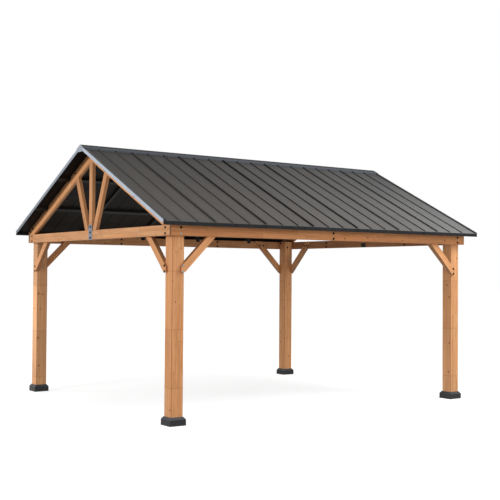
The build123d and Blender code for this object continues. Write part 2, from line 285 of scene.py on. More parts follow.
def pith_distance(finish, grain_place, across, through, own_pith, own_hue):
    """Distance from a pith that lies beside the board, a little wavy along the grain."""
    waver = finish.noise(grain_place, 1.0, 3.0, 0.55, (1.1, 7.0, 7.0))
    pith_across = finish.ease(own_pith, 0.0, 1.0, -0.09, 0.09)
    pith_through = finish.ease(own_hue, 0.0, 1.0, 0.035, 0.11)
    off_across = finish.math("SUBTRACT", across, pith_across)
    off_through = finish.math("ADD", through, pith_through)
    reach = finish.vector("LENGTH", finish.join(off_across, off_through, 0.0))
    return finish.math("ADD", reach, finish.math("MULTIPLY", waver, RING_WAVER))


def cedar(
    name, grain, seed, joints=(), lamella=None, half_width=HALF_POST, block=0.9, level=1.0,
    tint=None, end_level=0.78, side_shade_level=1.0, whole_joints=False, second_grain=None,
    second_from_x=None,
):
    """Oiled cedar: growth rings round a pith beside the board, streaks, fibres, knots and
    finger joints. Each board, lamella and block has a tone and rings of its own."""
    finish = Finish(name)
    place, corner = folded(finish, grain)
    distances = along_grain(finish, place, grain)
    faces = turned_normal(finish, grain)
    if second_grain is not None:
        is_second = finish.math("GREATER_THAN", finish.split(place)[0], second_from_x)
        distances = either(finish, is_second, distances, along_grain(finish, place, second_grain))
        faces = either(finish, is_second, faces, turned_normal(finish, second_grain))
        corner = finish.math("ADD", corner, finish.math("MULTIPLY", is_second, 17.0))
    along, across, through = distances
    end_face, side_face, flat_face = faces
    slant = finish.math("ADD", across, through)

    # Which board, lamella and block a place is in
    board = finish.math("ADD", corner, float(seed))
    for joint in joints:
        board = finish.math("ADD", board, finish.math("GREATER_THAN", along, joint))
    layer = 0.0
    if lamella:
        layer_run = finish.math("DIVIDE", finish.math("ADD", across, half_width), lamella)
        layer = finish.math("FLOOR", layer_run)
    shift = finish.chance(finish.join(board, 0.0 if whole_joints else layer, 4.7))[0]
    shifted = finish.math("ADD", along, finish.math("MULTIPLY", shift, BLOCK_SHIFT))
    run = finish.math("DIVIDE", shifted, block)
    block_place = finish.join(board, layer, finish.math("FLOOR", run))
    own_tone, own_pith, own_hue = finish.chance(block_place)

    # Rings that bend round the knots, and noises that run with the grain
    slide = finish.math("MULTIPLY", finish.math("ADD", board, layer), GRAIN_SLIDE)
    slid = finish.math("ADD", along, slide)
    grain_place = finish.join(slid, across, through)
    knot_distance, knot_radius, is_knot = knot_cells(finish, slid, slant)
    swell = finish.math("MULTIPLY", finish.fade(knot_distance, 0.0, KNOT_REACH, KNOT_SWELL), is_knot)
    radius = pith_distance(finish, grain_place, across, through, own_pith, own_hue)
    radius = finish.math("ADD", radius, swell)
    ring = finish.math("FRACT", finish.math("DIVIDE", radius, RING_WIDTH))
    latewood = finish.math("POWER", ring, 2.5)
    wide_ring = finish.math("FRACT", finish.math("DIVIDE", radius, BAND_WIDTH))
    wide_band = finish.ease(finish.math("PINGPONG", wide_ring, 0.5), 0.0, 0.5)
    streaks = finish.noise(grain_place, 1.0, 4.0, 0.62, (1.6, 34.0, 34.0))
    fibres = finish.noise(grain_place, 1.0, 2.0, 0.6, (14.0, 420.0, 420.0))
    patches = finish.noise(grain_place, 1.0, 2.0, 0.5, (2.4, 5.0, 5.0))

    # Colour of the clear wood
    share = finish.math("MULTIPLY", latewood, 0.42)
    share = finish.math("ADD", share, finish.math("MULTIPLY", wide_band, 0.20))
    share = finish.math("ADD", share, finish.ease(streaks, 0.3, 0.7, -0.05, 0.40))
    colour = finish.mix(share, CEDAR_LIGHT, CEDAR_DARK)
    # A level above 1 is painted light, one below 1 painted shade.
    lightness = finish.ease(own_tone, 0.0, 1.0, 0.93 * level, 1.07 * level)
    lightness = finish.math("ADD", lightness, finish.ease(patches, 0.25, 0.75, -0.06, 0.06))
    lightness = finish.math("ADD", lightness, finish.ease(fibres, 0.2, 0.8, -0.05, 0.05))
    # End faces darker by the end level: end grain's own tone, and painted shadow where the level is very
    # low.
    lightness = finish.math("MULTIPLY", lightness, finish.ease(end_face, 0.7, 0.9, 1.0, end_level))
    # Narrow faces darker by the side level: painted shade.
    lightness = finish.math("MULTIPLY", lightness, finish.ease(flat_face, 0.3, 0.8, side_shade_level, 1.0))
    colour = finish.shade(colour, lightness)
    green = finish.ease(own_hue, 0.0, 1.0, 0.965, 1.02)
    blue = finish.ease(own_hue, 0.0, 1.0, 0.92, 1.05)
    colour = finish.vector("MULTIPLY", colour, finish.join(1.0, green, blue))
    # A cool tint is a painted sheen, a warm one the warmth of painted shade.
    if tint:
        colour = finish.vector("MULTIPLY", colour, tint)

    # Glue lines of the finger joints and between lamellas
    finger = finish.math("MULTIPLY", finish.off_line(run), block)
    teeth = finish.math("MULTIPLY", finish.math("PINGPONG", slant, TOOTH_WIDTH), TOOTH_SLOPE)
    off_glue = finish.math("ABSOLUTE", finish.math("SUBTRACT", finger, teeth))
    glue = finish.fade(off_glue, *GLUE_WIDTHS)
    colour = finish.mix(finish.math("MULTIPLY", glue, 0.38), colour, CEDAR_KNOT)
    if lamella:
        off_middle = finish.math("SUBTRACT", finish.math("FRACT", layer_run), 0.5)
        seam = finish.ease(finish.math("ABSOLUTE", off_middle), 0.46, 0.5, 0.0, 0.34)
        colour = finish.mix(finish.math("MULTIPLY", seam, flat_face), colour, CEDAR_KNOT)

    # Knots, and the darker rounded arrises
    knot = finish.math("DIVIDE", knot_distance, knot_radius)
    core = finish.math("MULTIPLY", finish.fade(knot, 0.7, 1.15), is_knot)
    rim = finish.math("MULTIPLY", finish.fade(knot, 1.0, 2.6, 0.5), is_knot)
    colour = finish.mix(rim, colour, CEDAR_DARK)
    colour = finish.mix(finish.math("MULTIPLY", core, 0.9), colour, CEDAR_KNOT)
    square = finish.math("MAXIMUM", end_face, finish.math("MAXIMUM", side_face, flat_face))
    colour = finish.mix(finish.fade(square, 0.75, 0.95, 0.75), colour, CEDAR_EDGE)

    relief = finish.math("MULTIPLY", fibres, 0.6)
    relief = finish.math("ADD", relief, finish.math("MULTIPLY", latewood, 0.4))
    relief = finish.math("SUBTRACT", relief, finish.math("MULTIPLY", glue, 0.5))
    finish.bump(relief, 0.35, 0.0008)
    roughness = finish.ease(finish.math("ADD", fibres, latewood), 0.3, 1.5, 0.56, 0.72)
    return finish.complete(colour, roughness, specular=0.3)


# Coated steel and moulded plastic

PAN_GREY = tone(74, 71, 69)
PAN_GREY_WARM = tone(80, 77, 74)
SEAM_PALE = tone(98, 96, 94)
SEAM_DARK = tone(38, 37, 36)
JOINT_BLACK = tone(9, 8, 8)
JOINT_GREY = tone(52, 51, 50)
LINING_DARK = tone(20, 16, 12)
LINING_JOINT = tone(3, 3, 3)
TRIM_GREY = tone(72, 71, 71)
FASCIA_DARK = tone(26, 27, 28)
FASCIA_SCUFFED = tone(35, 36, 38)
FLANGE_BLACK = tone(14, 14, 15)
RAKE_PALE = tone(166, 175, 187)
RAKE_BLUE = tone(189, 200, 213)
CAP_GREY = tone(66, 70, 76)
CAP_BLUE = tone(74, 78, 85)
CAP_FOLD = tone(44, 44, 45)
CAP_LIP = tone(100, 105, 113)
STRAP_BLUE = tone(112, 121, 134)
STRAP_PALE = tone(138, 148, 160)
JOINT_PLATE_BLACK = tone(16, 16, 17)
COVER_CHARCOAL = tone(40, 40, 42)
COVER_GREY = tone(49, 49, 51)
COVER_SLOPE_SHEEN = tone(84, 87, 92)
COVER_DUST = tone(120, 112, 102)

ABOVE_PAN = (0.0004, 0.002)
LAP_TOP = (0.0125, 0.0135)
DARKEST_JOINT_X = -0.375
HALF_LINING_JOINT = (0.010, 0.014)
HALF_FASCIA_JOINT = (0.006, 0.009)
CAP_FOLD_WIDTH = (0.040, 0.060)
PEEL_SCALE = 700.0
PEEL_DEPTH = 0.0004


def slope_distances(finish):
    """Distances along the ridge, down the slope from the ridge and square to the pans. The back
    slope is the front one turned half round, so along runs the other way there."""
    x, y, z = finish.split(finish.place)
    across = finish.math("ABSOLUTE", y)
    drop = finish.math("SUBTRACT", ROOF_TOP, z)
    across_down = finish.math("MULTIPLY", across, cos(PITCH))
    down = finish.math("ADD", across_down, finish.math("MULTIPLY", drop, sin(PITCH)))
    across_up = finish.math("MULTIPLY", across, sin(PITCH))
    up = finish.math("SUBTRACT", across_up, finish.math("MULTIPLY", drop, cos(PITCH)))
    along = finish.math("MULTIPLY", x, finish.math("MULTIPLY", finish.math("SIGN", y), -1.0))
    return along, down, up


def pan_lightness(finish, along, down, pan_run, speckle):
    """How light a pan is: a little its own, with painted shade by the ridge, painted light towards the
    eaves and a painted sheen towards one end.
    """
    streaks = finish.noise(finish.join(along, down, 0.0), 1.0, 3.0, 0.55, (26.0, 0.9, 1.0))
    side = finish.math("SIGN", finish.split(finish.place)[1])
    own_tone = finish.chance(finish.join(finish.math("FLOOR", pan_run), side, 2.0))[0]
    lightness = finish.ease(own_tone, 0.0, 1.0, 0.97, 1.03)
    lightness = finish.math("ADD", lightness, finish.swing(streaks))
    lightness = finish.math("ADD", lightness, finish.swing(speckle))
    # Painted light: darker by the ridge, lighter towards the eaves, with a painted sheen low down towards
    # one end.
    painted_light_down_slope = finish.ease(down, 0.2, 2.2, 0.66, 1.16)
    painted_sheen_end = finish.ease(along, 1.0, 2.4, 0.0, 0.42)
    painted_sheen_low_at_end = finish.math("MULTIPLY", painted_sheen_end, finish.ease(down, 0.2, 2.2))
    lightness = finish.math("MULTIPLY", lightness, finish.math("ADD", painted_light_down_slope, painted_sheen_low_at_end))
    # More painted light, lighter towards one end.
    return finish.math("MULTIPLY", lightness, finish.ease(along, -1.3, 0.7, 1.02, 1.42))


def roof_coat():
    """Matt charcoal coating on the pans, painted light and shade on the seams' sides, a tone of their own
    on the laps, and a dark brown lining underneath."""
    finish = Finish("roof_coat")
    along, down, up = slope_distances(finish)
    facing_x, _, facing_z = finish.split(finish.facing)
    sideways = finish.math("ABSOLUTE", facing_x)
    pan_run = finish.math("DIVIDE", finish.math("SUBTRACT", along, FIRST_SEAM_LINE), PAN_WIDTH)
    mottle = finish.noise(finish.place, 2.3, 4.0, 0.6)
    speckle = finish.noise(finish.place, 900.0, 1.0)
    lightness = pan_lightness(finish, along, down, pan_run, speckle)
    colour = finish.mix(finish.ease(mottle, 0.3, 0.7), PAN_GREY, PAN_GREY_WARM)
    colour = finish.shade(colour, lightness)
    # Painted reflection: cooler and bluer towards one end.
    red = finish.ease(along, -1.0, 2.0, 1.0, 0.93)
    blue = finish.ease(along, -1.0, 2.0, 1.0, 1.06)
    colour = finish.vector("MULTIPLY", colour, finish.join(red, 1.0, blue))

    above_pan = finish.ease(up, *ABOVE_PAN)
    # The seams' sides: painted light at the left end, painted shade further along.
    seam_side = finish.math("MULTIPLY", finish.ease(sideways, 0.5, 0.7), above_pan)
    seam_light_and_shade = finish.mix(finish.ease(along, -2.3, 0.3), SEAM_PALE, SEAM_DARK)
    colour = finish.mix(seam_side, colour, seam_light_and_shade)
    lap_side = finish.math("MULTIPLY", finish.ease(sideways, 0.9, 0.95), above_pan)
    lap_top = finish.math("MULTIPLY", finish.ease(up, *LAP_TOP), 0.6)
    off_darkest = finish.math("ABSOLUTE", finish.math("SUBTRACT", along, DARKEST_JOINT_X))
    joint_tone = finish.mix(finish.ease(off_darkest, 0.1, 1.4), JOINT_BLACK, JOINT_GREY)
    colour = finish.mix(finish.math("MAXIMUM", lap_side, lap_top), colour, joint_tone)

    off_joint = finish.math("MULTIPLY", finish.off_line(pan_run), PAN_WIDTH)
    lining = finish.mix(finish.fade(off_joint, *HALF_LINING_JOINT), LINING_DARK, LINING_JOINT)
    lining = finish.shade(lining, lightness)
    colour = finish.mix(finish.fade(facing_z, -0.6, -0.4), colour, lining)
    finish.bump(speckle, 0.12, PEEL_DEPTH)
    return finish.complete(colour, finish.ease(mottle, 0.2, 0.8, 0.52, 0.62), specular=0.05)


def coated_steel(name, colour, second_colour, roughness, specular, seed):
    """Coated steel: a mottled colour with fine orange peel."""
    finish = Finish(name)
    shifted = finish.vector("ADD", finish.place, (seed, seed, seed))
    mottle = finish.noise(shifted, 9.0, 4.0, 0.65)
    fine = finish.noise(shifted, 130.0, 3.0, 0.7)
    speckle = finish.noise(shifted, PEEL_SCALE, 1.0)
    share = finish.ease(finish.math("ADD", mottle, finish.math("MULTIPLY", fine, 0.6)), 0.5, 1.1)
    mixed = finish.flecked(finish.mix(share, colour, second_colour), speckle)
    finish.bump(finish.math("ADD", speckle, finish.math("MULTIPLY", fine, 0.5)), 0.10, PEEL_DEPTH)
    rough = finish.ease(mottle, 0.2, 0.8, roughness - 0.05, roughness + 0.07)
    return finish.complete(mixed, rough, specular)


def outward_x(finish):
    """How much a face looks away from the middle along the ridge."""
    side = finish.math("SIGN", finish.split(finish.place)[0])
    return finish.math("MULTIPLY", finish.split(finish.facing)[0], side)


def rake_coat():
    """Pale blue-grey on the face of the gable trims, with painted shade deepening down one half of each
    gable, and near black on the flange over the sheets."""
    finish = Finish("rake_coat")
    x, y, _ = finish.split(finish.place)
    mottle = finish.noise(finish.place, 11.0, 4.0, 0.65)
    dashes = finish.noise(finish.place, 46.0, 2.0, 0.6)
    speckle = finish.noise(finish.place, PEEL_SCALE, 1.0)
    share = finish.ease(finish.math("ADD", mottle, finish.math("MULTIPLY", dashes, 0.5)), 0.5, 1.0)
    face = finish.mix(share, RAKE_PALE, RAKE_BLUE)
    painted_shade_half = finish.math("MULTIPLY", finish.math("MULTIPLY", y, finish.math("SIGN", x)), -1.0)
    # Painted shade: darker over one half of each gable, deepening towards its eave.
    face = finish.shade(face, finish.ease(painted_shade_half, -0.02, 0.02, 1.0, 0.72))
    face = finish.shade(face, finish.ease(painted_shade_half, 0.0, 1.9, 1.0, 0.55))
    colour = finish.mix(finish.ease(outward_x(finish), 0.5, 0.8), FLANGE_BLACK, face)
    colour = finish.flecked(colour, speckle)
    finish.bump(finish.math("ADD", speckle, finish.math("MULTIPLY", dashes, 0.5)), 0.10, PEEL_DEPTH)
    return finish.complete(colour, finish.ease(mottle, 0.2, 0.8, 0.40, 0.52), specular=0.3)


def fascia_coat():
    """Near black on the upright face of the eave trims, with a line at each joint, and the
    roof's grey on the lap over the pans."""
    finish = Finish("fascia_coat")
    mottle = finish.noise(finish.place, 9.0, 4.0, 0.65)
    speckle = finish.noise(finish.place, PEEL_SCALE, 1.0)
    face = finish.mix(finish.ease(mottle, 0.35, 0.65), FASCIA_DARK, FASCIA_SCUFFED)
    along = slope_distances(finish)[0]
    first_joint = FASCIA_JOINT_SHIFT + FASCIA_LENGTH / 2
    run = finish.math("DIVIDE", finish.math("SUBTRACT", along, first_joint), FASCIA_LENGTH)
    off_joint = finish.math("MULTIPLY", finish.off_line(run), FASCIA_LENGTH)
    face = finish.mix(finish.fade(off_joint, *HALF_FASCIA_JOINT), face, JOINT_BLACK)
    top = finish.ease(finish.split(finish.facing)[2], 0.5, 0.7)
    colour = finish.flecked(finish.mix(top, face, TRIM_GREY), speckle)
    finish.bump(speckle, 0.10, PEEL_DEPTH)
    return finish.complete(colour, finish.ease(mottle, 0.2, 0.8, 0.45, 0.57), specular=0.12)


def ridge_coat():
    """Blue-grey coating of the ridge cap, with painted shade along its top fold, and paler on its lips.
    """
    finish = Finish("ridge_coat")
    down = slope_distances(finish)[1]
    mottle = finish.noise(finish.place, 14.0, 4.0, 0.6)
    speckle = finish.noise(finish.place, PEEL_SCALE, 1.0)
    colour = finish.mix(finish.ease(mottle, 0.3, 0.7), CAP_GREY, CAP_BLUE)
    # Painted shade in the top fold.
    colour = finish.mix(finish.fade(down, *CAP_FOLD_WIDTH, 0.9), colour, CAP_FOLD)
    looks_up = finish.split(finish.facing)[2]
    not_up = finish.fade(looks_up, -0.2, 0.1)
    lip = finish.math("MULTIPLY", not_up, finish.ease(looks_up, -0.75, -0.6))
    colour = finish.flecked(finish.mix(lip, colour, CAP_LIP), speckle)
    finish.bump(speckle, 0.10, PEEL_DEPTH)
    return finish.complete(colour, finish.ease(mottle, 0.2, 0.8, 0.48, 0.58), specular=0.05)


def strap_coat():
    """Blue-grey on the strap outside, black on the joint plate inside the beam."""
    finish = Finish("strap_coat")
    mottle = finish.noise(finish.place, 9.0, 4.0, 0.65)
    speckle = finish.noise(finish.place, PEEL_SCALE, 1.0)
    strap = finish.mix(finish.ease(mottle, 0.35, 0.65), STRAP_BLUE, STRAP_PALE)
    from_middle = finish.math("ABSOLUTE", finish.split(finish.place)[0])
    outside = finish.ease(from_middle, FACE_X + 0.01, FACE_X + 0.02)
    colour = finish.flecked(finish.mix(outside, JOINT_PLATE_BLACK, strap), speckle)
    finish.bump(speckle, 0.10, PEEL_DEPTH)
    return finish.complete(colour, finish.ease(mottle, 0.2, 0.8, 0.34, 0.44), specular=0.2)


def moulded_plastic():
    """Charcoal moulded plastic of the base covers: a fine grain, a painted sheen on the upward slopes,
    dust at the foot.
    """
    finish = Finish("moulded_charcoal")
    pebble = finish.noise(finish.place, 420.0, 2.0, 0.6)
    cloud = finish.noise(finish.place, 8.0, 3.0)
    z = finish.split(finish.place)[2]
    colour = finish.mix(finish.ease(cloud, 0.3, 0.7), COVER_CHARCOAL, COVER_GREY)
    # Painted sheen: slopes that look upwards are paler.
    slope = finish.ease(finish.split(finish.facing)[2], 0.3, 0.6)
    colour = finish.mix(finish.math("MULTIPLY", slope, 0.5), colour, COVER_SLOPE_SHEEN)
    dust = finish.math("MULTIPLY", finish.fade(z, 0.0, 0.02), finish.ease(cloud, 0.4, 0.7))
    colour = finish.mix(finish.math("MULTIPLY", dust, 0.35), colour, COVER_DUST)
    finish.bump(pebble, 0.25, 0.0006)
    return finish.complete(colour, finish.ease(pebble, 0.2, 0.8, 0.42, 0.6), specular=0.2)


# Timber: the grain and the tone of each kind of piece

ALONG_X, ALONG_Y, ALONG_Z = (1, 0, 0), (0, 1, 0), (0, 0, 1)
OUTER_LAYER_X, OUTER_LAYER_Y = OUTER_X - BOARD / 2, OUTER_Y - BOARD / 2
INNER_LAYER_X, INNER_LAYER_Y = FACE_X + BOARD / 2, FACE_Y + BOARD / 2
TRUSS_X = OUTER_X - 0.02
UP_STRUT = (0, sin(STRUT_LEAN), cos(STRUT_LEAN))
OUT_OF_STRUT = (0, cos(STRUT_LEAN), -sin(STRUT_LEAN))

POST_GRAIN = Grain((POST_X, POST_Y, 0), ALONG_Z, ALONG_X)
LONG_OUTER_GRAIN = Grain((0, OUTER_LAYER_Y, BEAM_MIDDLE), ALONG_X, ALONG_Z, fold_x=False)
LONG_INNER_GRAIN = Grain((0, INNER_LAYER_Y, BEAM_MIDDLE), ALONG_X, ALONG_Z, fold_x=False)
GABLE_OUTER_GRAIN = Grain((OUTER_LAYER_X, 0, BEAM_MIDDLE), ALONG_Y, ALONG_Z, fold_y=False)
GABLE_INNER_GRAIN = Grain((INNER_LAYER_X, 0, BEAM_MIDDLE), ALONG_Y, ALONG_Z, fold_y=False)
RAFTER_GRAIN = Grain((OUTER_LAYER_X, 1.0, roof_height(1.0, 0.12)), UP_SLOPE, OUT_OF_SLOPE)
KING_GRAIN = Grain((TRUSS_X, 0, 2.55), ALONG_Z, ALONG_Y, fold_y=False)
STRUT_GRAIN = Grain((TRUSS_X, 0.25, 2.5), UP_STRUT, OUT_OF_STRUT)
BRACE_GRAIN = Grain((1.85, FACE_Y, 1.85), (-1, 0, 1), (1, 0, 1))
GABLE_BRACE_GRAIN = Grain((FACE_X, 1.55, 1.85), (0, -1, 1), (0, 1, 1))

# Lighter copies of the post cedar, a little different for each post, are painted light; the cool post
# tints are a painted sheen.
POST_LEVELS = {"front_right": 1.06, "back_left": 1.04, "front_left": 1.02}
POST_SHEEN_TINTS = {"back_left": (0.95, 1.03, 1.12), "front_right": (0.99, 1.04, 1.10)}
# Warmth of painted shade, and coolness of a painted sheen.
SHADE_WARMTH = (1.02, 0.92, 0.84)
SHEEN_COOLNESS = (1.0, 1.045, 1.11)


def lay(node, finish):
    """Give a piece of the model its finish."""
    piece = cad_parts[node]
    piece.data.materials.clear()
    piece.data.materials.append(finish)


def dress_corner(corner, seed):
    """A post, and the two knee braces at its head."""
    level = POST_LEVELS.get(corner, 1.0)
    post = cedar(
        "cedar_post_" + corner, POST_GRAIN, seed, lamella=POST_LAMELLA, block=0.62, level=level,
        whole_joints=True, tint=POST_SHEEN_TINTS.get(corner),
    )
    # The braces' narrow faces at half: painted shade.
    braces = cedar(
        "cedar_braces_" + corner, BRACE_GRAIN, seed + 20, level=level, side_shade_level=0.5,
        second_grain=GABLE_BRACE_GRAIN, second_from_x=GABLE_BRACE_FROM_X,
    )
    lay("post_" + corner, post)
    lay("knee_braces_" + corner, braces)


def dress_long_beams(side, seed):
    """The outer and the inner layer of a long beam."""
    # A darker, warmer copy of the cedar: painted shade of the eave. Its end faces are near black: a
    # painted shadow in the corner joint.
    outer = cedar(
        "cedar_" + side + "_beam_outer", LONG_OUTER_GRAIN, seed, joints=(OUTER_JOINT_X,),
        lamella=HALF_BEAM, half_width=HALF_BEAM, block=0.62, level=0.92, tint=SHADE_WARMTH, end_level=0.2,
    )
    inner = cedar(
        "cedar_" + side + "_beam_inner", LONG_INNER_GRAIN, seed + 40,
        joints=(-INNER_JOINT_X, INNER_JOINT_X), block=1.3,
    )
    lay(side + "_beam_outer", outer)
    lay(side + "_beam_inner", inner)


def dress_gable(end, seed):
    """The beam layers and the truss of a gable."""
    # The outer layer is cooled by a painted sheen.
    outer = cedar(
        "cedar_" + end + "_beam_outer", GABLE_OUTER_GRAIN, seed, joints=(0.0,),
        lamella=HALF_BEAM, half_width=HALF_BEAM, block=0.85, tint=SHEEN_COOLNESS,
    )
    # The inner layer is a much darker, warmer copy of the cedar: painted shade under the roof.
    inner = cedar(
        "cedar_" + end + "_beam_inner", GABLE_INNER_GRAIN, seed + 40,
        joints=(-INNER_JOINT_Y, INNER_JOINT_Y), block=1.3, level=0.57, tint=SHADE_WARMTH,
    )
    lay(end + "_beam_outer", outer)
    lay(end + "_beam_inner", inner)
    # Lit and shaded copies of one cedar: the face rafters lighter, painted light; the main rafters much
    # darker, painted shade under the rake trim; the king post and struts a little darker, painted shade.
    truss = (
        ("_face_rafters", dict(grain=RAFTER_GRAIN, seed=seed + 60, block=1.1, level=1.18)),
        ("_main_rafters", dict(grain=RAFTER_GRAIN, seed=seed + 80, block=1.1, level=0.50)),
        ("_king_post", dict(grain=KING_GRAIN, seed=seed + 100, level=0.93)),
        ("_struts", dict(grain=STRUT_GRAIN, seed=seed + 120, level=0.90)),
    )
    for piece, look in truss:
        lay(end + piece, cedar("cedar_" + end + piece, **look))


def dress_timber():
    """Give every timber of the model a cedar of its own."""
    seed = 0
    for side in ("front", "back"):
        for end in ("left", "right"):
            seed += 1
            dress_corner(side + "_" + end, seed)
        seed += 1
        dress_long_beams(side, seed)
    for end in ("left", "right"):
        seed += 1
        dress_gable(end, seed)


def dress_steel():
    """Give the covers, the roof and the fittings of the model their coatings."""
    end_plate = coated_steel(
        "ridge_plate_coat", tone(146, 154, 164), tone(170, 177, 186),
        roughness=0.42, specular=0.3, seed=5.0,
    )
    frame_steel = coated_steel(
        "frame_coat", tone(18, 16, 14), tone(26, 23, 20), roughness=0.5, specular=0.1, seed=9.0,
    )
    bracket = coated_steel(
        "bracket_coat", tone(20, 20, 21), tone(32, 32, 33), roughness=0.4, specular=0.15, seed=11.0,
    )
    by_ending = {
        "_fascia": fascia_coat(),
        "_rake_trims": rake_coat(),
        "_roof_panels": roof_coat(),
        "_tie_plates": strap_coat(),
        "eave_brackets": bracket,
        "purlins": frame_steel,
        "ridge_beam": frame_steel,
        "ridge_cap": ridge_coat(),
        "ridge_end_plates": end_plate,
        "steel_rafters": frame_steel,
    }
    cover = moulded_plastic()
    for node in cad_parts:
        for ending, finish in by_ending.items():
            if node.endswith(ending):
                lay(node, finish)
        if node.startswith("post_cover_"):
            lay(node, cover)


# Bolts and closures, repeated by geometry nodes

BOLT_SIZES = {
    "Washer radius": 0.0145, "Washer thickness": 0.0018, "Head radius": 0.011, "Head height": 0.0055,
}
ZINC_BOLT_SIZES = {**BOLT_SIZES, "Washer radius": 0.0125, "Head radius": 0.0095}
FLANGE_HEIGHT = 0.0012
CHAMFER_HEIGHT = 0.0008
CLOSURE_SIZES = {"Width": 0.024, "Depth": 0.014, "Height": 0.0135}
CLOSURE_DOWN = CAP_LEG - 0.006

BOLT_ROWS = (2.104, 2.040)
STRAP_BOLT_ROWS = (2.171, 2.104, 2.038)
SPLICE_BOLT_ROWS = (2.100, 2.036)
SPLICE_BOLT_X = -0.003
GABLE_BOLT_Y = POST_Y + 0.005
INNER_BOLT_X, INNER_BOLT_Y = 0.833, 0.853
INNER_BOLT_DROP = 0.004
POST_BOLT_X, POST_BOLT_Y = POST_X - 0.02, POST_Y + 0.035
POST_BOLT_HIGH, POST_BOLT_LOW = 2.108, 2.039
BRACE_FOOT_INSET = 0.025
BRACE_FOOT_X = POST_X - HALF_POST + BRACE_FOOT_INSET
BRACE_FOOT_Y = POST_Y - HALF_POST + BRACE_FOOT_INSET
BRACE_FOOT_DROPS = (0.318, 0.381)
BRACE_HEAD_RUNS = (0.345, 0.410)
BRACE_HEAD_Z = BEAM_BOTTOM + 0.048
RAFTER_BOLT_YS = (0.497, 1.834, 1.903)
RAFTER_BOLT_DEPTH = 0.034
SIXTH_OF_A_TURN = 1.05


class Tree(Graph):
    """One geometry node tree, built a step at a time."""

    def __init__(self, name, sizes, finish):
        self.tree = bpy.data.node_groups.new(name, "GeometryNodeTree")
        super().__init__(self.tree)
        face = self.tree.interface
        face.new_socket("Places", in_out="INPUT", socket_type="NodeSocketGeometry")
        face.new_socket("Pieces", in_out="OUTPUT", socket_type="NodeSocketGeometry")
        self.identifiers = {}
        for size, value in sizes.items():
            socket = face.new_socket(size, in_out="INPUT", socket_type="NodeSocketFloat")
            socket.default_value = value
            self.identifiers[size] = socket.identifier
        self.start = self.nodes.new("NodeGroupInput")
        self.finish = finish

    def add(self, kind, settings=None, **inputs):
        """A node, with its settings and its inputs."""
        node = self.nodes.new(kind)
        for name, value in (settings or {}).items():
            setattr(node, name, value)
        for name, value in inputs.items():
            self.feed(node.inputs[name.replace("_", " ")], value)
        return node

    def size(self, name):
        return self.start.outputs[name]

    def share(self, name, share):
        """A share of one of the sizes."""
        return self.math("MULTIPLY", self.size(name), share)

    def raised(self, piece, height):
        """A node's geometry moved up by a height."""
        offset = self.join(0.0, 0.0, height)
        return self.add("GeometryNodeTransform", Geometry=piece.outputs[0], Translation=offset).outputs[0]

    def named(self, name, data_type):
        """A value that each place brings with it."""
        return self.add("GeometryNodeInputNamedAttribute", {"data_type": data_type}, Name=name).outputs[0]

    def close(self, parts):
        """Put the parts on every place, turned the way the place looks, and end the tree."""
        joined = self.add("GeometryNodeJoinGeometry")
        for part in parts:
            self.links.new(part, joined.inputs[0])
        looks = self.named("looks", "FLOAT_VECTOR")
        turn = self.add("FunctionNodeAlignRotationToVector", {"axis": "Z"}, Vector=looks)
        roll = self.join(0.0, 0.0, self.named("roll", "FLOAT"))
        spin = self.add("FunctionNodeEulerToRotation", Euler=roll)
        turned = self.add(
            "FunctionNodeRotateRotation", {"rotation_space": "LOCAL"},
            Rotation=turn.outputs[0], Rotate_By=spin.outputs[0],
        )
        placed = self.add(
            "GeometryNodeInstanceOnPoints", Points=self.size("Places"),
            Instance=joined.outputs[0], Rotation=turned.outputs[0],
        )
        real = self.add("GeometryNodeRealizeInstances", Geometry=placed.outputs[0])
        dressed = self.add("GeometryNodeSetMaterial", Geometry=real.outputs[0], Material=self.finish)
        end = self.nodes.new("NodeGroupOutput")
        self.links.new(dressed.outputs[0], end.inputs[0])


def place_mesh(name, places):
    """A mesh of bare points, each with the way it looks and its roll in radians."""
    mesh = bpy.data.meshes.new(name)
    mesh.from_pydata([point for point, looks, roll in places], [], [])
    ways = mesh.attributes.new("looks", "FLOAT_VECTOR", "POINT")
    ways.data.foreach_set("vector", [value for point, looks, roll in places for value in looks])
    rolls = mesh.attributes.new("roll", "FLOAT", "POINT")
    rolls.data.foreach_set("value", [roll for point, looks, roll in places])
    return mesh


def repeat(name, places, tree, sizes):
    """Run a tree on the places, and keep its result as one plain piece that rides on the body."""
    source = bpy.data.objects.new(name + "_places", place_mesh(name + "_places", places))
    bpy.context.scene.collection.objects.link(source)
    modifier = source.modifiers.new("repeat", "NODES")
    modifier.node_group = tree.tree
    for size, value in sizes.items():
        modifier[tree.identifiers[size]] = value
    evaluated = source.evaluated_get(bpy.context.evaluated_depsgraph_get())
    mesh = bpy.data.meshes.new_from_object(evaluated)
    source.modifiers.remove(modifier)
    bpy.data.objects.remove(source)
    mesh.name = name
    piece = bpy.data.objects.new(name, mesh)
    bpy.context.scene.collection.objects.link(piece)
    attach(piece, "root")


